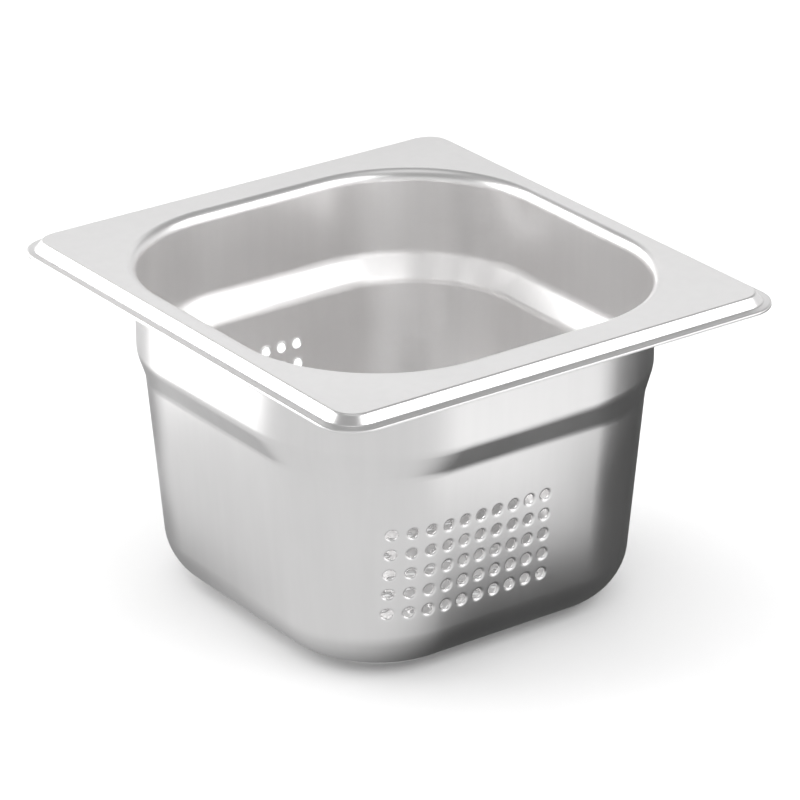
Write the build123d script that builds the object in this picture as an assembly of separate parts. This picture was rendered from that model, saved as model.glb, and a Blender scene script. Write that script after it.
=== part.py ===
from build123d import *
import os

# Perforated steel cheese mould: one sheet, deep drawn into a rounded square pan with a
# stepped rim. +Z is up. The origin is the centre of the flat underside of the base.
# The perforated walls face -Y and +Y. All lengths are in millimetres.

# Overall size
rim_x = 162.0
rim_y = 176.0
height = 104.0
sheet = 0.8

# Rim: the flat flange steps down to a narrow lip at its outer edge
lip_corner_r = 12.0
lip_reach = 4.8
lip_drop = 3.2
step_reach = 2.2
step_drop = 2.8
step_bend_r = 1.2
lip_bend_r = 1.0
rim_band = 6.4

# Collar: the straight upper wall, rolled over into the flange at the mouth
collar_x = 138.0
collar_y = 140.0
collar_corner_r = 46.0
mouth_bend_r = 3.6
mouth_band = 3.3

# Stacking shoulder and tapered lower wall, as insets from the collar
shoulder_top_z = 76.0
shoulder_foot_z = 67.5
shoulder_inset = 4.3
base_inset = 9.4
shoulder_bend_r = 7.0
shoulder_foot_r = 7.0
base_bend_r = 16.0
foot_corner_r = 37.0
base_corner_r = 34.0
collar_foot_z = 80.0
floor_inset = 30.0

# Drain holes
hole_r = 1.7
wall_columns = 10
wall_rows = 5
wall_pitch_x = 5.9
wall_pitch_z = 6.7
front_grid_x = -17.6
front_grid_z = 35.9
back_grid_x = -18.7
back_grid_z = 40.4
base_columns = 10
base_pitch = 7.5

bend_levels = 6


def ring(section, centre_x, centre_y):
    """Run an (r, z) section round a rounded rectangle with the given corner centres."""
    quarter = revolve(section, Axis.Z, 90)
    body = None
    for turn, (side_x, side_y) in enumerate(((1, 1), (-1, 1), (-1, -1), (1, -1))):
        piece = Pos(side_x * centre_x, side_y * centre_y) * Rot(0, 0, 90 * turn) * quarter
        body = piece if body is None else body + piece
    along_y = extrude(section, 2 * centre_y, dir=(0, 1, 0))
    along_x = extrude(section, 2 * centre_x, dir=(0, 1, 0))
    for side in (0, 1):
        half_turn = Rot(0, 0, 180 * side)
        body = body + half_turn * Pos(centre_x, -centre_y) * along_y
        body = body + half_turn * Pos(centre_x, centre_y) * Rot(0, 0, 90) * along_x
    return body


def strip(points, radii, side):
    """A constant-thickness section of sheet: a bent line and its parallel."""
    with BuildSketch(Plane.XZ) as section:
        with BuildLine():
            FilletPolyline(*points, radius=radii)
            offset(amount=sheet, side=side)
        make_face()
    return section.sketch


def rim_edge():
    """The outer edge of the flange, its step and its lip."""
    flat_end = lip_corner_r - lip_reach
    step_foot = flat_end + step_reach
    points = (
        (lip_corner_r - rim_band, height),
        (flat_end, height),
        (step_foot, height - step_drop),
        (lip_corner_r, height - lip_drop),
    )
    section = strip(points, (step_bend_r, lip_bend_r), Side.RIGHT)
    return ring(section, rim_x / 2 - lip_corner_r, rim_y / 2 - lip_corner_r)


def collar():
    """The straight upper wall and the bend of the mouth."""
    under = height - sheet
    points = (
        (collar_corner_r, collar_foot_z),
        (collar_corner_r, under),
        (collar_corner_r + mouth_band, under),
    )
    section = strip(points, (mouth_bend_r - sheet,), Side.LEFT)
    return ring(section, collar_x / 2 - collar_corner_r, collar_y / 2 - collar_corner_r)


def flange():
    """The flat of the flange, between the mouth bend and the rim edge."""
    outer = RectangleRounded(
        rim_x - 2 * rim_band, rim_y - 2 * rim_band, lip_corner_r - rim_band
    )
    inner = RectangleRounded(
        collar_x + 2 * mouth_band,
        collar_y + 2 * mouth_band,
        collar_corner_r + mouth_band,
    )
    return Pos(0, 0, height - sheet) * extrude(outer - inner, sheet)


def corner_radius(inset):
    """Corner radius of the outside at a given inset from the collar."""
    if inset <= shoulder_inset:
        blend = inset / shoulder_inset
        return collar_corner_r + blend * (foot_corner_r - collar_corner_r)
    if inset <= base_inset:
        blend = (inset - shoulder_inset) / (base_inset - shoulder_inset)
        return foot_corner_r + blend * (base_corner_r - foot_corner_r)
    return base_corner_r - (inset - base_inset)


def lower_profile():
    """Outside profile from the collar down to the middle of the base, as (inset, z)."""
    return FilletPolyline(
        (0, collar_foot_z),
        (0, shoulder_top_z),
        (shoulder_inset, shoulder_foot_z),
        (base_inset, 0),
        (floor_inset, 0),
        radius=(shoulder_bend_r, shoulder_foot_r, base_bend_r),
    )


def outlines(edge, depth):
    """Rounded rectangles along one profile edge, moved inward by depth."""
    count = bend_levels if edge.geom_type == GeomType.CIRCLE else 1
    faces = []
    for step in range(count + 1):
        point = edge.position_at(step / count)
        along = edge.tangent_at(step / count)
        inset = point.X - depth * along.Y
        level = point.Y + depth * along.X
        radius = corner_radius(point.X) + depth * along.Y
        size_x = collar_x - 2 * inset
        size_y = collar_y - 2 * inset
        faces.append(Pos(0, 0, level) * RectangleRounded(size_x, size_y, radius))
    return faces


def solid_bowl(depth):
    """The space inside the profile surface that lies depth in from the outside."""
    body = None
    for edge in lower_profile().edges()[:-1]:
        straight = edge.geom_type == GeomType.LINE
        piece = loft(outlines(edge, depth), ruled=straight)
        body = piece if body is None else body + piece
    return body


def lower_bowl():
    """Shoulder, tapered wall, rounded bottom edge and flat base."""
    return solid_bowl(0) - solid_bowl(sheet)


def wall_holes(side, grid_x, grid_z):
    """Drain holes through one perforated wall; side is -1 for -Y and 1 for +Y."""
    drill = Pos(0, side * rim_y / 4, 0) * Rot(90, 0, 0) * Cylinder(hole_r, rim_y / 2)
    holes = []
    for place in GridLocations(wall_pitch_x, wall_pitch_z, wall_columns, wall_rows):
        across = grid_x + place.position.X
        up = grid_z + place.position.Y
        holes.append(Pos(across, 0, up) * drill)
    return holes


def base_holes():
    """Drain holes through the base."""
    drill = Cylinder(hole_r, 4 * sheet)
    grid = GridLocations(base_pitch, base_pitch, base_columns, base_columns)
    return [place * drill for place in grid]


def perforated_pan():
    """The whole pan: one sheet with its drain holes."""
    sheet_body = lower_bowl() + collar() + flange() + rim_edge()
    front_holes = wall_holes(-1, front_grid_x, front_grid_z)
    back_holes = wall_holes(1, back_grid_x, back_grid_z)
    return sheet_body - front_holes - back_holes - base_holes()


pan = perforated_pan()
export_step(pan, "parts/perforated_pan.step")
print("perforated_pan", len(pan.solids()), "solid, volume", round(pan.volume), "mm3")
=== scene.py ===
import math

import bmesh
import bpy
import numpy as np
from mathutils import Matrix, Vector


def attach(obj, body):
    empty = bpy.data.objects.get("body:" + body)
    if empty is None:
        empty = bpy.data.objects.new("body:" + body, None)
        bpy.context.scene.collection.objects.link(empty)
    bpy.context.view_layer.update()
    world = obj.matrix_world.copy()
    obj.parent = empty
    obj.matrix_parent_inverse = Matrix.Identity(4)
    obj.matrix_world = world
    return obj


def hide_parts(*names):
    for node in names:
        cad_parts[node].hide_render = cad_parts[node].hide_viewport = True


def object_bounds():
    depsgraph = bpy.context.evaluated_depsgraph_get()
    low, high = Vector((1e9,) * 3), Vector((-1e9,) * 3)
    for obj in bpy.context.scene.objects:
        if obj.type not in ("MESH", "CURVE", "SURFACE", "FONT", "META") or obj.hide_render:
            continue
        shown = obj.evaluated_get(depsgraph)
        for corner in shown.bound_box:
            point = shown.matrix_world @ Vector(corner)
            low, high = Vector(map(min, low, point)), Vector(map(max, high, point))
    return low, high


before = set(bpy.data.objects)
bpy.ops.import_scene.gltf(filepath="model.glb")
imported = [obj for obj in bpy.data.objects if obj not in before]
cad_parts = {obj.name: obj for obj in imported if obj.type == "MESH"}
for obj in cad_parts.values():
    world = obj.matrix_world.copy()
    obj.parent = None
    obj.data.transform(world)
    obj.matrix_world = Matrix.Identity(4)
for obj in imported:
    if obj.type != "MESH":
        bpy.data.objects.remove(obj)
cad_box = [list(corner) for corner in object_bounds()]

MM = 0.001
NODE = "perforated_pan"

# ---------------------------------------------------------------- sizes of the pan

# In millimetres, and the same as in the CAD part. The rim and the height come from the
# frame's box.
RIM_X = (cad_box[1][0] - cad_box[0][0]) / MM
RIM_Y = (cad_box[1][1] - cad_box[0][1]) / MM
HEIGHT = (cad_box[1][2] - cad_box[0][2]) / MM
SHEET = 0.8

# Rim: the flat flange steps down to a narrow lip at its outer edge.
LIP_CORNER_R = 12.0
LIP_REACH = 4.8
LIP_DROP = 3.2
STEP_REACH = 2.2
STEP_DROP = 2.8
STEP_BEND_R = 1.2
LIP_BEND_R = 1.0
RIM_BAND = 6.4

# Collar: the straight upper wall, rolled over into the flange at the mouth
COLLAR_X = 138.0
COLLAR_Y = 140.0
COLLAR_CORNER_R = 46.0
MOUTH_BEND_R = 3.6
MOUTH_BAND = 3.3

# Stacking shoulder, tapered wall and base, as insets from the collar
SHOULDER_TOP_Z = 76.0
SHOULDER_FOOT_Z = 67.5
SHOULDER_INSET = 4.3
BASE_INSET = 9.4
SHOULDER_BEND_R = 7.0
SHOULDER_FOOT_R = 7.0
BASE_BEND_R = 16.0
FOOT_CORNER_R = 37.0
BASE_CORNER_R = 34.0
FLOOR_INSET = 30.0

# Drain holes. The walls' grids are the X and the height of their middles.
HOLE_R = 1.7
WALL_COLUMNS = 10
WALL_ROWS = 5
WALL_PITCH_X = 5.9
WALL_PITCH_Z = 6.7
FRONT_GRID = (-17.6, 35.9)
BACK_GRID = (-18.7, 40.4)
BASE_COLUMNS = 10
BASE_PITCH = 7.5

# Rings round a punched hole: how far out from its edge, how far the outer face is pressed
# in there, and how far the burr on the inner face stands up.
HOLE_RINGS = (
    (0.90, 0.00, 0.00),
    (0.60, 0.02, 0.03),
    (0.36, 0.08, 0.09),
    (0.18, 0.17, 0.14),
    (0.06, 0.28, 0.14),
    (0.00, 0.42, 0.08),
)

# The lip's cut edge is slightly rounded: depths from a face, and how far back each lies.
CUT_EDGE = ((0.03, 0.05), (0.12, 0.0))

# ---------------------------------------------------------------- mesh density

# Segments along a hole's cell, along one side of the bowl, from a side's -X end to its
# first hole cell, and round half a corner of the rim
CELL_SEGMENTS = 4
SIDE_SEGMENTS = 80
LEFT_SEGMENTS = 6
RIM_CORNER_SEGMENTS = 14

# Steps round the profile's bends: base, shoulder's foot, shoulder and mouth
BOWL_BEND_STEPS = (12, 7, 7, 9)
# Parts of its straight runs: tapered wall below and above the holes, shoulder and collar
BELOW_HOLES_PARTS = 3
ABOVE_HOLES_PARTS = 5
SHOULDER_PARTS = 3
COLLAR_PARTS = 6

# The same for the rim's upper face: the bends at the step and at the lip, and the runs
RIM_BEND_STEPS = (7, 6)
STEP_PARTS = 2
LIP_PARTS = 3

# ---------------------------------------------------------------- steel settings

# Noise patterns: features per metre along X, Y and Z, then detail and roughness. Drawing
# lines and scratches run up the walls, and along Y on the flange and the base.
WALL_GRAIN = ((1700.0, 1700.0, 28.0), 3.0, 0.6)
FLAT_GRAIN = ((2100.0, 45.0, 2100.0), 3.0, 0.6)
WALL_SCRATCHES = ((5200.0, 5200.0, 30.0), 1.0, 0.4)
FLAT_SCRATCHES = ((5200.0, 70.0, 5200.0), 1.0, 0.4)
BANDS = ((260.0, 260.0, 9.0), 3.0, 0.6)
CLOUDS = ((38.0, 38.0, 26.0), 3.0, 0.55)
SPECKLE = ((1500.0, 1500.0, 1500.0), 2.0, 0.6)

# How upright a surface's normal is where the wall's lines give way to the flat's
FLAT_NORMAL = (0.55, 0.9)
# The part of a noise's range that is used, and the thin top slice that makes scratches
NOISE_RANGE = (0.3, 0.7)
SCRATCH_RANGE = (0.70, 0.78)

# The lightest colour, and the shares of it left where the clouds and bands are darkest
STEEL_COLOUR = (0.91, 0.903, 0.901, 1.0)
CLOUD_SHADE = 0.975
BAND_SHADE = 0.984

# The middle roughness, and how far each pattern moves it
STEEL_ROUGHNESS = 0.310
CLOUD_ROUGHNESS = 0.015
GRAIN_ROUGHNESS = 0.010
SCRATCH_ROUGHNESS = 0.03

# The relief, in metres, and the share of each pattern in it
BUMP_STRENGTH = 0.15
BUMP_DEPTH = 0.00002
GRAIN_RELIEF = 0.6
SPECKLE_RELIEF = 0.4
SCRATCH_RELIEF = 0.15

# ---------------------------------------------------------------- studio settings

# What the lights and the camera look at, in metres
AIM = Vector((0.0, 0.0, 0.05))

# Softboxes: azimuth and elevation in degrees, distance and size in metres, radiance
SOFTBOXES = {
    "back_left_softbox": (-146, 28, 0.9, (1.0, 0.55), 3.2),
    "back_right_softbox": (143, 32, 0.9, (0.6, 0.20), 0.60),
    "front_right_softbox": (40, 12, 0.9, (0.6, 0.22), 1.3),
    "front_high_softbox": (34, 40, 0.9, (0.9, 0.5), 2.2),
}
OVERHEAD_SOFTBOX = (0, 90, 2.0, (2.5, 2.5), 1.4)

# Cards just above the floor that only reflections see: the radius of the even middle and the
# width of the soft edge round it, the place, the radiance, and the stretch along X and Y.
# The grey floor card paints a darker floor into the steel's reflections. The shade cards and
# the dark flag paint shade into those reflections.
CARDS = {
    # Painted reflection: a grey card that the steel sees in place of the pale floor, darker
    # than the floor itself
    "painted_floor_reflection": (0.45, 0.25, (0.0, 0.0, 0.0002), 0.68, (1.0, 1.0)),
    "bright_card_left": (0.06, 0.06, (-0.22, 0.19, 0.0004), 2.0, (1.0, 1.0)),
    "bright_card_right": (0.06, 0.07, (0.100, -0.21, 0.0004), 1.05, (1.0, 1.0)),
    "shade_under_pan": (0.064, 0.040, (0.029, -0.018, 0.0006), 0.05, (1.0, 1.0)),
    "shade_left": (0.02, 0.05, (-0.05, 0.16, 0.0006), 0.30, (1.0, 1.0)),
    "shade_left_foot": (0.008, 0.030, (-0.054, 0.055, 0.0007), 0.28, (1.0, 2.4)),
    "dark_flag_right": (0.150, 0.032, (0.200, -0.010, 0.0005), 0.04, (1.0, 1.0)),
}

FLOOR_SIZE = 8.0
FLOOR_COLOUR = (0.92, 0.92, 0.92, 1.0)
FLOOR_ROUGHNESS = 0.7

# The surround's radiance at its sides, in the ring above them and at the top, and the
# sines of the elevations between which each turns into the next
WORLD_SIDE = 0.82
WORLD_RING = 0.35
WORLD_TOP = 0.8
RING_RISE = (0.20, 0.62)
TOP_RISE = (0.92, 0.98)

# The steel is seen in itself several times inside the pan.
GLOSSY_BOUNCES = 10

# The camera: angles in degrees, lens and sensor in millimetres, the rest in metres. The
# last two move it sideways and up, to frame the pan as the photograph does.
CAMERA_AZIMUTH = -35.807
CAMERA_ELEVATION = 24.177
CAMERA_ROLL = -0.2205
CAMERA_LENS = 199.83
CAMERA_SENSOR = 36.0
CAMERA_REACH = 50.0
CAMERA_DISTANCE = 1.36134
CAMERA_SIDE = 0.001722
CAMERA_LIFT = 0.008493


# ---------------------------------------------------------------- profile


def bent_line(points, radii, arc_steps, line_levels):
    """Samples of a polyline with round bends: rows of x, y and the left normal.

    line_levels gives, for each straight run between two bends, the fractions along it at
    which extra samples lie.
    """
    points = [np.array(p, float) for p in points]
    rows = []

    def add(place, along):
        rows.append((place[0], place[1], -along[1], along[0]))

    starts = [points[0]]
    ends = []
    bends = []
    for before, corner, after, radius in zip(points, points[1:], points[2:], radii):
        into = (corner - before) / np.linalg.norm(corner - before)
        out = (after - corner) / np.linalg.norm(after - corner)
        turn = math.atan2(into[0] * out[1] - into[1] * out[0], into @ out)
        reach = radius * math.tan(abs(turn) / 2)
        ends.append(corner - into * reach)
        starts.append(corner + out * reach)
        bends.append((into, turn, radius))
    ends.append(points[-1])

    for index, (start, end) in enumerate(zip(starts, ends)):
        along = (end - start) / np.linalg.norm(end - start)
        for fraction in (0.0, *line_levels[index], 1.0):
            add(start + fraction * (end - start), along)
        if index < len(bends):
            into, turn, radius = bends[index]
            side = math.copysign(1.0, turn)
            normal = np.array((-into[1], into[0])) * side
            centre = end + normal * radius
            steps = arc_steps[index]
            for step in range(1, steps):
                angle = turn * step / steps
                cos, sin = math.cos(angle), math.sin(angle)
                spin = np.array(((cos, -sin), (sin, cos)))
                add(centre - spin @ normal * radius, spin @ into)
    return np.array(rows)


def even(count):
    """Fractions that cut a run into count equal parts."""
    return [step / count for step in range(1, count)]


def corner_radius(reach):
    """Corner radius of the bowl's outside, from how far it stands out past the collar."""
    inset = -np.asarray(reach, float)
    radius = np.interp(
        inset,
        (0.0, SHOULDER_INSET, BASE_INSET),
        (COLLAR_CORNER_R, FOOT_CORNER_R, BASE_CORNER_R),
    )
    return radius + np.clip(-inset, 0, None) - np.clip(inset - BASE_INSET, 0, None)


# ---------------------------------------------------------------- loops

# Each side of a loop runs from one corner's middle to the next: its direction, and the
# way it faces. Sides 0 and 2 are the perforated walls.
SIDES = (
    ((1, 0), (0, -1)),
    ((0, 1), (1, 0)),
    ((-1, 0), (0, 1)),
    ((0, -1), (-1, 0)),
)


def side_sizes(side, half_x, half_y):
    """Half length and standing distance of one side."""
    return (half_x, half_y) if side % 2 == 0 else (half_y, half_x)


def side_points(side, half_x, half_y, radius, places):
    """Points and outward directions on one side, at arc lengths from its middle."""
    half, stand = side_sizes(side, half_x, half_y)
    straight = half - radius
    angle = np.clip(np.abs(places) - straight, 0, None) / radius
    sign = np.sign(places)
    along = np.where(angle > 0, sign * (straight + radius * np.sin(angle)), places)
    out = stand - radius + radius * np.cos(angle)
    direction, facing = (np.array(v, float) for v in SIDES[side])
    points = along[:, None] * direction + out[:, None] * facing
    outward = (sign * np.sin(angle))[:, None] * direction + np.cos(angle)[:, None] * facing
    return points, outward


def side_length(side, half_x, half_y, radius):
    """Arc length of one side, from corner middle to corner middle."""
    half, _ = side_sizes(side, half_x, half_y)
    return 2 * (half - radius) + math.pi / 2 * radius


def wall_state(level):
    """Half sizes and corner radius of the tapered wall's outside at a height."""
    share = (SHOULDER_FOOT_Z - level) / SHOULDER_FOOT_Z
    reach = -(SHOULDER_INSET + share * (BASE_INSET - SHOULDER_INSET))
    return COLLAR_X / 2 + reach, COLLAR_Y / 2 + reach, corner_radius(reach)


def hole_side_fractions(grid_x, level):
    """Where the segments of a perforated side end, from -1 at its -X end to 1 at the other.

    The hole columns keep their X, so round the corner they spread out along the side.
    """
    half_x, half_y, radius = wall_state(level)
    straight = half_x - radius
    length = side_length(0, half_x, half_y, radius)
    first = grid_x - WALL_COLUMNS / 2 * WALL_PITCH_X
    segments = WALL_COLUMNS * CELL_SEGMENTS
    across = first + np.arange(segments + 1) * WALL_PITCH_X / CELL_SEGMENTS
    over = np.clip(np.abs(across) - straight, 0, None)
    bent = np.sign(across) * (straight + radius * np.arcsin(over / radius))
    places = np.where(over > 0, bent, across)
    lines = 2 * places / length
    rest = SIDE_SEGMENTS - LEFT_SEGMENTS - segments
    return np.concatenate((
        np.linspace(-1, lines[0], LEFT_SEGMENTS + 1)[:-1],
        lines,
        np.linspace(lines[-1], 1, rest + 1)[1:],
    ))


PLAIN_SIDE = np.linspace(-1, 1, SIDE_SEGMENTS + 1)
LOOP = 4 * SIDE_SEGMENTS


def bowl_loop(reaches, levels, column_levels):
    """One loop of the bowl: its points and outward directions in plan.

    Each argument is a pair, for the -Y side and for the +Y side. On the plain sides the
    loop climbs evenly from one to the other.
    """
    front = hole_side_fractions(FRONT_GRID[0], column_levels[0])
    back = hole_side_fractions(BACK_GRID[0], column_levels[1])
    shares = (np.zeros_like(front), (PLAIN_SIDE + 1) / 2,
              np.ones_like(front), (1 - PLAIN_SIDE) / 2)
    points, outward = [], []
    for side, fractions in enumerate((front, PLAIN_SIDE, -back[::-1], PLAIN_SIDE)):
        share = shares[side][:-1]
        reach = reaches[0] + share * (reaches[1] - reaches[0])
        level = levels[0] + share * (levels[1] - levels[0])
        half_x, half_y = COLLAR_X / 2 + reach, COLLAR_Y / 2 + reach
        radius = corner_radius(reach)
        half_length = side_length(side, half_x, half_y, radius) / 2
        plan, out = side_points(side, half_x, half_y, radius, fractions[:-1] * half_length)
        points.append(np.column_stack((plan, level)))
        outward.append(out)
    return np.vstack(points), np.vstack(outward)


def rim_loop(reach, level):
    """One loop of the rim, reach being measured from its outer edge."""
    half_x, half_y = RIM_X / 2 + reach, RIM_Y / 2 + reach
    radius = LIP_CORNER_R + reach
    straight_segments = SIDE_SEGMENTS - 2 * RIM_CORNER_SEGMENTS
    points, outward = [], []
    for side in range(4):
        half, _ = side_sizes(side, half_x, half_y)
        straight = half - radius
        end = straight + math.pi / 4 * radius
        places = np.concatenate((
            np.linspace(-end, -straight, RIM_CORNER_SEGMENTS + 1)[:-1],
            np.linspace(-straight, straight, straight_segments + 1)[:-1],
            np.linspace(straight, end, RIM_CORNER_SEGMENTS + 1)[:-1],
        ))
        plan, out = side_points(side, half_x, half_y, radius, places)
        points.append(plan)
        outward.append(out)
    plan = np.vstack(points)
    return np.column_stack((plan, np.full(len(plan), level))), np.vstack(outward)


def bowl_normals(rows, outward, column_levels):
    """Inward normals of the bowl's outside along one loop.

    rows is the profile's row on the -Y side and on the +Y side.
    """
    reaches, levels = (rows[0][0], rows[1][0]), (rows[0][1], rows[1][1])
    normal_out, normal_z = rows[0][2:]
    step = 0.02
    before, _ = bowl_loop([reach - step for reach in reaches], levels, column_levels)
    after, _ = bowl_loop([reach + step for reach in reaches], levels, column_levels)
    growth = np.einsum("ij,ij->i", (after - before)[:, :2], outward) / (2 * step)
    # The profile's tangent is the normal turned by a quarter. Along the loop's outward
    # direction it is stretched by how fast the outline grows there.
    tangent_out = normal_z * growth
    tangent_z = -normal_out
    size = np.hypot(tangent_out, tangent_z)
    normals = outward * (-tangent_z / size)[:, None]
    return np.column_stack((normals, tangent_out / size))


# ---------------------------------------------------------------- mesh


class Sheet:
    """Points, normals and faces of the pan while they are put together.

    A normal of zero length is left for the mesh to work out.
    """

    def __init__(self):
        self.points = []
        self.normals = []
        self.faces = []
        self.count = 0

    def add(self, points, normals):
        """Adds points and returns their numbers."""
        points = np.asarray(points, float)
        self.points.append(points)
        self.normals.append(np.asarray(normals, float))
        numbers = np.arange(self.count, self.count + len(points))
        self.count += len(points)
        return numbers

    def bridge(self, first, second, skip=()):
        """Quads between two closed loops of the same number of points."""
        total = len(first)
        for here in range(total):
            if here in skip:
                continue
            there = (here + 1) % total
            self.faces.append((first[here], first[there], second[there], second[here]))


def bowl_rows(grid_z):
    """Profile of the bowl's outside, from the base out to the flange's underside.

    Also gives the row at which the hole field starts.
    """
    under = HEIGHT - SHEET
    zone = WALL_ROWS * WALL_PITCH_Z
    low, high = grid_z - zone / 2, grid_z + zone / 2
    points = (
        (-FLOOR_INSET, 0),
        (-BASE_INSET, 0),
        (-SHOULDER_INSET, SHOULDER_FOOT_Z),
        (0, SHOULDER_TOP_Z),
        (0, under),
        (MOUTH_BAND, under),
    )
    radii = (BASE_BEND_R, SHOULDER_FOOT_R, SHOULDER_BEND_R, MOUTH_BEND_R - SHEET)
    # Without extra samples, rows 2 and 3 are the two ends of the tapered wall.
    bare = bent_line(points, radii, (1, 1, 1, 1), ((), (), (), (), ()))
    wall_low, wall_high = bare[2][1], bare[3][1]
    levels = list(np.linspace(wall_low, low, BELOW_HOLES_PARTS + 1)[1:-1])
    levels += list(np.linspace(low, high, WALL_ROWS * CELL_SEGMENTS + 1))
    levels += list(np.linspace(high, wall_high, ABOVE_HOLES_PARTS + 1)[1:-1])
    wall = [(level - wall_low) / (wall_high - wall_low) for level in levels]
    runs = ((), wall, even(SHOULDER_PARTS), even(COLLAR_PARTS), ())
    rows = bent_line(points, radii, BOWL_BEND_STEPS, runs)
    zone_start = int(np.argmin(np.abs(rows[:, 1] - low)))
    # The first row lies in the base, which base_plate makes.
    return rows[1:], zone_start - 1


def rim_rows():
    """Profile of the rim's upper face, from the flange out to the lip's edge."""
    points = (
        (-RIM_BAND, HEIGHT),
        (-LIP_REACH, HEIGHT),
        (-LIP_REACH + STEP_REACH, HEIGHT - STEP_DROP),
        (0, HEIGHT - LIP_DROP),
    )
    runs = ((), even(STEP_PARTS), even(LIP_PARTS))
    rows = bent_line(points, (STEP_BEND_R, LIP_BEND_R), RIM_BEND_STEPS, runs)
    # The last row is the lip's sharp edge, which CUT_EDGE replaces.
    return rows[:-1]


def wall_point(side, across, level):
    """Points and inward normals of a perforated wall's outside, from X and the height."""
    half_x, half_y, radius = wall_state(level)
    over = np.clip(np.abs(across) - (half_x - radius), 0, None)
    sine = np.sign(across) * over / radius
    cosine = np.sqrt(1 - sine**2)
    face = -1.0 if side == 0 else 1.0
    stand = face * (half_y - radius + radius * cosine)
    # For each millimetre that the wall stands further out, the corner's radius grows by
    # widening, and its centre moves out by the rest.
    widening = (FOOT_CORNER_R - BASE_CORNER_R) / (BASE_INSET - SHOULDER_INSET)
    growth = widening + (1 - widening) * (np.abs(sine) + cosine)
    slope = (BASE_INSET - SHOULDER_INSET) / SHOULDER_FOOT_Z * growth
    normals = np.column_stack((-sine, -face * cosine, slope))
    normals /= np.linalg.norm(normals, axis=1)[:, None]
    return np.column_stack((across, stand, level)), normals


def ring_circle(radius):
    """Places round a hole, in the order in which its cell's border runs."""
    total = 4 * CELL_SEGMENTS
    angles = -3 * math.pi / 4 + 2 * math.pi * np.arange(total) / total
    return radius * np.cos(angles), radius * np.sin(angles)


def punch(sheet, border_out, border_in, place):
    """Fills one cell with a punched hole. place gives point and normal from an offset."""
    last_out, last_in = border_out, border_in
    for beyond, pressed, raised in HOLE_RINGS:
        east, north = ring_circle(HOLE_R + beyond)
        points, normals = place(east, north)
        # Only the outermost ring is still flat, so the others' normals are left open.
        flat = 0 if pressed else 1
        ring_out = sheet.add(points + normals * pressed, -normals * flat)
        ring_in = sheet.add(points + normals * (SHEET + raised), normals * flat)
        sheet.bridge(last_out, ring_out)
        sheet.bridge(last_in, ring_in)
        last_out, last_in = ring_out, ring_in
    sheet.bridge(last_out, last_in)


def cell_border(grid, row, column):
    """The numbers round one cell of a grid, anticlockwise from its lower left."""
    span = CELL_SEGMENTS
    bottom = [grid[row][column + step] for step in range(span)]
    right = [grid[row + step][column + span] for step in range(span)]
    top = [grid[row + span][column + span - step] for step in range(span)]
    left = [grid[row + span - step][column] for step in range(span)]
    return np.array(bottom + right + top + left)


def wall_cells(sheet, side, grid, outer, inner):
    """The punched cells of one perforated wall. outer and inner are level by column."""
    for row in range(WALL_ROWS):
        for column in range(WALL_COLUMNS):
            across = grid[0] + (column - (WALL_COLUMNS - 1) / 2) * WALL_PITCH_X
            level = grid[1] + (row - (WALL_ROWS - 1) / 2) * WALL_PITCH_Z
            # On the far side the columns run the other way along X.
            first = column if side == 0 else WALL_COLUMNS - 1 - column
            turn = 1.0 if side == 0 else -1.0

            def place(east, north, across=across, level=level, turn=turn):
                return wall_point(side, across + turn * east, level + north)

            corner = (row * CELL_SEGMENTS, first * CELL_SEGMENTS)
            punch(sheet, cell_border(outer, *corner), cell_border(inner, *corner), place)


def base_grid(sheet, level, facing):
    """The square of points under the base's hole cells, on one face of the sheet."""
    lines = BASE_COLUMNS * CELL_SEGMENTS + 1
    half = BASE_COLUMNS * BASE_PITCH / 2
    ticks = np.linspace(-half, half, lines)
    grid = np.empty((lines, lines), int)
    for row, north in enumerate(ticks):
        points = np.column_stack((ticks, np.full(lines, north), np.full(lines, level)))
        grid[row] = sheet.add(points, np.tile((0, 0, facing), (lines, 1)))
    return grid


def base_cells(sheet, grids):
    """The punched cells of the base."""
    for row in range(BASE_COLUMNS):
        for column in range(BASE_COLUMNS):
            east_0 = (column - (BASE_COLUMNS - 1) / 2) * BASE_PITCH
            north_0 = (row - (BASE_COLUMNS - 1) / 2) * BASE_PITCH

            def place(east, north, east_0=east_0, north_0=north_0):
                flat = np.column_stack((east_0 + east, north_0 + north, np.zeros(len(east))))
                return flat, np.tile((0.0, 0.0, 1.0), (len(east), 1))

            corner = (row * CELL_SEGMENTS, column * CELL_SEGMENTS)
            borders = [cell_border(grid, *corner) for grid in grids]
            punch(sheet, borders[0], borders[1], place)


def base_plate(sheet, loop_out, loop_in):
    """The flat base inside the bowl's first loop: a grid of punched cells and a frame."""
    grids = [base_grid(sheet, 0.0, -1.0), base_grid(sheet, SHEET, 1.0)]
    base_cells(sheet, grids)
    for grid, loop in zip(grids, (loop_out, loop_in)):
        border = np.concatenate((
            grid[0, :-1], grid[:-1, -1], grid[-1, :0:-1], grid[:0:-1, 0]
        ))
        share = len(loop) // len(border)
        for here in range(len(border)):
            there = (here + 1) % len(border)
            run = [loop[(here * share + step) % len(loop)] for step in range(share + 1)]
            sheet.faces.append((border[there], border[here], *run))


def bowl_points(sheet, front_rows, back_rows, zone):
    """The loops of the bowl's outside and inside, from the base to the flange."""
    outer, inner = [], []
    for index, rows in enumerate(zip(front_rows, back_rows)):
        nearest = min(max(index, zone.start), zone.stop - 1)
        column_levels = (front_rows[nearest][1], back_rows[nearest][1])
        reaches, levels = (rows[0][0], rows[1][0]), (rows[0][1], rows[1][1])
        points, outward = bowl_loop(reaches, levels, column_levels)
        normals = bowl_normals(rows, outward, column_levels)
        outer.append(sheet.add(points, -normals))
        inner.append(sheet.add(points + normals * SHEET, normals))
    return outer, inner


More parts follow.
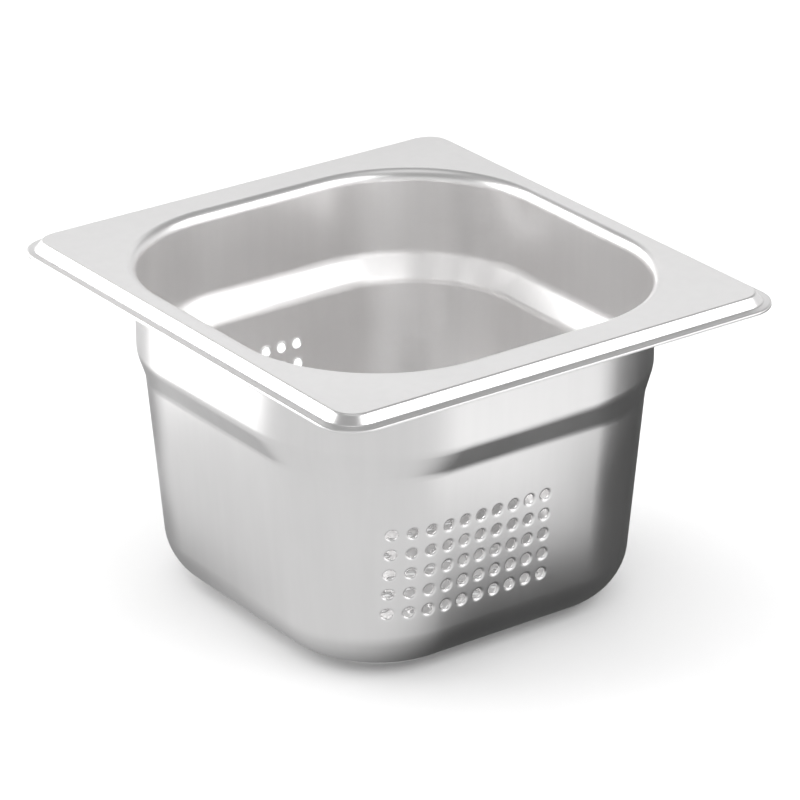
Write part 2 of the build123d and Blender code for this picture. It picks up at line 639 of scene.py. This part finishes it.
def bowl_faces(sheet, outer, inner, zone):
    """The faces between the bowl's loops. zone is the slice of loops with the holes."""
    columns = WALL_COLUMNS * CELL_SEGMENTS
    near_start = LEFT_SEGMENTS
    far_start = 3 * SIDE_SEGMENTS - LEFT_SEGMENTS - columns
    near = set(range(near_start, near_start + columns))
    far = set(range(far_start, far_start + columns))
    for level in range(len(outer) - 1):
        skip = near | far if zone.start <= level < zone.stop - 1 else ()
        sheet.bridge(outer[level], outer[level + 1], skip)
        sheet.bridge(inner[level], inner[level + 1], skip)
    for side, grid, start in ((0, FRONT_GRID, near_start), (2, BACK_GRID, far_start)):
        span = slice(start, start + columns + 1)
        outer_zone = [line[span] for line in outer[zone]]
        inner_zone = [line[span] for line in inner[zone]]
        wall_cells(sheet, side, grid, outer_zone, inner_zone)


def rim_faces(sheet, last_top, last_under):
    """The rim, from the bowl's last loops out to the lip's cut edge."""
    for reach, level, normal_out, normal_z in rim_rows():
        points, outward = rim_loop(reach, level)
        normals = np.column_stack((outward * normal_out, np.full(LOOP, normal_z)))
        top = sheet.add(points, normals)
        under = sheet.add(points - normals * SHEET, -normals)
        sheet.bridge(last_top, top)
        sheet.bridge(last_under, under)
        last_top, last_under = top, under
    mirrored = tuple((SHEET - depth, back) for depth, back in reversed(CUT_EDGE))
    for depth, back in CUT_EDGE + mirrored:
        points, _ = rim_loop(-back, HEIGHT - LIP_DROP)
        ring = sheet.add(points - np.array((0, 0, depth)), np.zeros((LOOP, 3)))
        sheet.bridge(last_top, ring)
        last_top = ring
    sheet.bridge(last_top, last_under)


def build_pan():
    """The whole pan as one closed mesh of even thickness."""
    sheet = Sheet()
    front_rows, zone_row = bowl_rows(FRONT_GRID[1])
    back_rows, _ = bowl_rows(BACK_GRID[1])
    zone = slice(zone_row, zone_row + WALL_ROWS * CELL_SEGMENTS + 1)
    outer, inner = bowl_points(sheet, front_rows, back_rows, zone)
    bowl_faces(sheet, outer, inner, zone)
    base_plate(sheet, outer[0], inner[0])
    rim_faces(sheet, inner[-1], outer[-1])
    return sheet


def pan_object():
    """Turns the sheet into a Blender object with smooth, true normals."""
    sheet = build_pan()
    points = np.vstack(sheet.points) * MM
    normals = np.vstack(sheet.normals)
    used = np.zeros(len(points), bool)
    for face in sheet.faces:
        used[list(face)] = True
    number = np.cumsum(used) - 1
    faces = [[int(number[corner]) for corner in face] for face in sheet.faces]
    mesh = bpy.data.meshes.new("drawn_pan")
    mesh.from_pydata(points[used].tolist(), [], faces)
    work = bmesh.new()
    work.from_mesh(mesh)
    bmesh.ops.recalc_face_normals(work, faces=work.faces)
    work.to_mesh(mesh)
    work.free()
    mesh.polygons.foreach_set("use_smooth", [True] * len(mesh.polygons))
    mesh.update()
    # Points whose normal was left open take the mesh's own.
    own = np.empty(3 * len(mesh.vertices))
    mesh.vertices.foreach_get("normal", own)
    given = normals[used]
    missing = ~given.any(axis=1)
    given[missing] = own.reshape(-1, 3)[missing]
    mesh.normals_split_custom_set_from_vertices(given.tolist())
    pan = bpy.data.objects.new("drawn_pan", mesh)
    bpy.context.scene.collection.objects.link(pan)
    return pan


# ---------------------------------------------------------------- steel


class Nodes:
    """Short calls for building a node tree."""

    def __init__(self, tree):
        self.tree = tree
        tree.nodes.clear()

    def add(self, kind, inputs=None, **settings):
        """Adds a node. An input is a value, or a socket to link from."""
        node = self.tree.nodes.new(kind)
        for name, value in settings.items():
            setattr(node, name, value)
        for name, value in (inputs or {}).items():
            if isinstance(value, bpy.types.NodeSocket):
                self.tree.links.new(value, node.inputs[name])
            else:
                node.inputs[name].default_value = value
        return node

    def math(self, operation, first, second=0.0):
        """The result of a Math node."""
        node = self.add("ShaderNodeMath", {0: first, 1: second}, operation=operation)
        return node.outputs[0]

    def remap(self, value, low, high, to_low, to_high):
        """A value mapped smoothly from one range to another."""
        node = self.add(
            "ShaderNodeMapRange",
            {"Value": value, 1: low, 2: high, 3: to_low, 4: to_high},
            interpolation_type="SMOOTHSTEP",
        )
        return node.outputs[0]

    def noise(self, place, scale, detail, roughness):
        """A noise value between 0 and 1 whose grain is stretched by an XYZ scale."""
        stretched = self.add("ShaderNodeMapping", {"Vector": place, "Scale": scale})
        node = self.add(
            "ShaderNodeTexNoise",
            {"Vector": stretched.outputs[0], "Scale": 1.0, "Detail": detail,
             "Roughness": roughness},
        )
        return node.outputs["Fac"]

    def mix(self, share, first, second):
        """A blend of two values."""
        node = self.add("ShaderNodeMix", {0: share, 2: first, 3: second}, data_type="FLOAT")
        return node.outputs[0]


def satin_steel():
    """Drawn stainless sheet: satin, with fine drawing lines, faint clouding and scratches."""
    material = bpy.data.materials.new("drawn_satin_steel")
    material.use_nodes = True
    nodes = Nodes(material.node_tree)
    coordinates = nodes.add("ShaderNodeTexCoord")
    place = coordinates.outputs["Object"]
    upright = nodes.add("ShaderNodeSeparateXYZ", {0: coordinates.outputs["Normal"]})
    flat = nodes.remap(nodes.math("ABSOLUTE", upright.outputs[2]), *FLAT_NORMAL, 0.0, 1.0)

    wall_grain = nodes.noise(place, *WALL_GRAIN)
    flat_grain = nodes.noise(place, *FLAT_GRAIN)
    grain = nodes.mix(flat, wall_grain, flat_grain)
    bands = nodes.noise(place, *BANDS)
    clouds = nodes.noise(place, *CLOUDS)
    speckle = nodes.noise(place, *SPECKLE)
    wall_scratches = nodes.noise(place, *WALL_SCRATCHES)
    flat_scratches = nodes.noise(place, *FLAT_SCRATCHES)
    scratches = nodes.mix(flat, wall_scratches, flat_scratches)
    scratches = nodes.remap(scratches, *SCRATCH_RANGE, 0.0, 1.0)

    cloud_share = nodes.remap(clouds, *NOISE_RANGE, -CLOUD_ROUGHNESS, CLOUD_ROUGHNESS)
    grain_share = nodes.remap(grain, *NOISE_RANGE, -GRAIN_ROUGHNESS, GRAIN_ROUGHNESS)
    scratch_share = nodes.math("MULTIPLY", scratches, SCRATCH_ROUGHNESS)
    roughness = nodes.math("ADD", cloud_share, STEEL_ROUGHNESS)
    roughness = nodes.math("ADD", roughness, grain_share)
    roughness = nodes.math("ADD", roughness, scratch_share)

    cloud_shade = nodes.remap(clouds, *NOISE_RANGE, CLOUD_SHADE, 1.0)
    band_shade = nodes.remap(bands, *NOISE_RANGE, BAND_SHADE, 1.0)
    shade = nodes.math("MULTIPLY", cloud_shade, band_shade)
    colour = nodes.add(
        "ShaderNodeMix",
        {0: shade, 6: (0.0, 0.0, 0.0, 1.0), 7: STEEL_COLOUR},
        data_type="RGBA",
    ).outputs[2]

    grain_relief = nodes.math("MULTIPLY", grain, GRAIN_RELIEF)
    speckle_relief = nodes.math("MULTIPLY", speckle, SPECKLE_RELIEF)
    scratch_relief = nodes.math("MULTIPLY", scratches, SCRATCH_RELIEF)
    relief = nodes.math("ADD", grain_relief, speckle_relief)
    relief = nodes.math("SUBTRACT", relief, scratch_relief)
    bump = nodes.add(
        "ShaderNodeBump",
        {"Strength": BUMP_STRENGTH, "Distance": BUMP_DEPTH, "Height": relief},
    ).outputs[0]

    surface = nodes.add(
        "ShaderNodeBsdfPrincipled",
        {"Base Color": colour, "Metallic": 1.0, "Roughness": roughness, "Normal": bump},
    )
    nodes.add("ShaderNodeOutputMaterial", {0: surface.outputs[0]})
    return material


# ---------------------------------------------------------------- studio


def square(name, half):
    """A flat square object round the origin."""
    mesh = bpy.data.meshes.new(name)
    corners = [(-half, -half, 0), (half, -half, 0), (half, half, 0), (-half, half, 0)]
    mesh.from_pydata(corners, [], [(0, 1, 2, 3)])
    plane = bpy.data.objects.new(name, mesh)
    bpy.context.scene.collection.objects.link(plane)
    return plane


def toward(azimuth, elevation):
    """The direction out from the pan at two angles in degrees.

    Azimuth 0 is the -Y side, and it turns towards +X.
    """
    turn, rise = math.radians(azimuth), math.radians(elevation)
    return Vector((
        math.sin(turn) * math.cos(rise), -math.cos(turn) * math.cos(rise), math.sin(rise)
    ))


def floor():
    """A large pale matt floor."""
    plane = square("studio_floor", FLOOR_SIZE / 2)
    material = bpy.data.materials.new("studio_floor")
    material.use_nodes = True
    nodes = Nodes(material.node_tree)
    surface = nodes.add(
        "ShaderNodeBsdfPrincipled", {"Base Color": FLOOR_COLOUR, "Roughness": FLOOR_ROUGHNESS}
    )
    nodes.add("ShaderNodeOutputMaterial", {0: surface.outputs[0]})
    plane.data.materials.append(material)


def studio_world():
    """A pale surround that darkens upwards, with a paler top."""
    world = bpy.data.worlds.new("studio_world")
    bpy.context.scene.world = world
    world.use_nodes = True
    nodes = Nodes(world.node_tree)
    direction = nodes.add("ShaderNodeTexCoord").outputs["Generated"]
    rise = nodes.add("ShaderNodeSeparateXYZ", {0: direction}).outputs[2]
    sides = nodes.remap(rise, *RING_RISE, WORLD_SIDE, WORLD_RING)
    top = nodes.remap(rise, *TOP_RISE, 0.0, WORLD_TOP - WORLD_RING)
    strength = nodes.math("ADD", sides, top)
    back = nodes.add("ShaderNodeBackground", {"Color": (1, 1, 1, 1), "Strength": strength})
    nodes.add("ShaderNodeOutputWorld", {0: back.outputs[0]})


def softbox(name, azimuth, elevation, distance, size, radiance):
    """A rectangular light that looks at the pan. The camera doesn't see it."""
    light = bpy.data.lights.new(name, "AREA")
    light.shape = "RECTANGLE"
    light.size, light.size_y = size
    light.energy = radiance * math.pi * size[0] * size[1]
    lamp = bpy.data.objects.new(name, light)
    out = toward(azimuth, elevation)
    lamp.location = AIM + out * distance
    lamp.rotation_euler = out.to_track_quat("Z", "Y").to_euler()
    lamp.visible_camera = False
    bpy.context.scene.collection.objects.link(lamp)
    return lamp


def soft_card(name, radius, fade, place, radiance, stretch):
    """A round glowing card that only reflections see, clear towards its edge."""
    card = square(name, radius + fade)
    card.location = place
    card.scale = (*stretch, 1.0)
    material = bpy.data.materials.new(name)
    material.use_nodes = True
    nodes = Nodes(material.node_tree)
    coordinates = nodes.add("ShaderNodeTexCoord").outputs["Object"]
    distance = nodes.add("ShaderNodeVectorMath", {0: coordinates}, operation="LENGTH")
    clear = nodes.remap(distance.outputs["Value"], radius, radius + fade, 0.0, 1.0)
    glow = nodes.add("ShaderNodeEmission", {"Color": (radiance, radiance, radiance, 1.0)})
    gone = nodes.add("ShaderNodeBsdfTransparent")
    mixed = nodes.add(
        "ShaderNodeMixShader", {0: clear, 1: glow.outputs[0], 2: gone.outputs[0]}
    )
    nodes.add("ShaderNodeOutputMaterial", {0: mixed.outputs[0]})
    card.data.materials.append(material)
    card.visible_camera = False
    card.visible_diffuse = False
    card.visible_shadow = False


def studio():
    """The floor, the surround, the lights and the cards."""
    floor()
    studio_world()
    for name, settings in SOFTBOXES.items():
        softbox(name, *settings)
    overhead = softbox("overhead_softbox", *OVERHEAD_SOFTBOX)
    overhead.visible_glossy = False
    for name, settings in CARDS.items():
        soft_card(name, *settings)
    bpy.context.scene.cycles.glossy_bounces = GLOSSY_BOUNCES
    bpy.context.scene.view_settings.view_transform = "Standard"


def photo_camera():
    """A long lens at the photograph's angle."""
    back = toward(CAMERA_AZIMUTH, CAMERA_ELEVATION)
    roll = math.radians(CAMERA_ROLL)
    level_right = Vector((0, 0, 1)).cross(back).normalized()
    level_up = back.cross(level_right)
    right = math.cos(roll) * level_right + math.sin(roll) * level_up
    up = math.cos(roll) * level_up - math.sin(roll) * level_right
    data = bpy.data.cameras.new("photo_camera")
    data.sensor_width = CAMERA_SENSOR
    data.lens = CAMERA_LENS
    data.clip_end = CAMERA_REACH
    camera = bpy.data.objects.new("photo_camera", data)
    place = AIM + right * CAMERA_SIDE + up * CAMERA_LIFT + back * CAMERA_DISTANCE
    axes = Matrix((right, up, back)).transposed().to_4x4()
    camera.matrix_world = Matrix.Translation(place) @ axes
    bpy.context.scene.collection.objects.link(camera)
    bpy.context.scene.camera = camera


# ---------------------------------------------------------------- scene

pan = pan_object()
pan.data.materials.append(satin_steel())
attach(pan, "root")
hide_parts(NODE)

studio()
photo_camera()
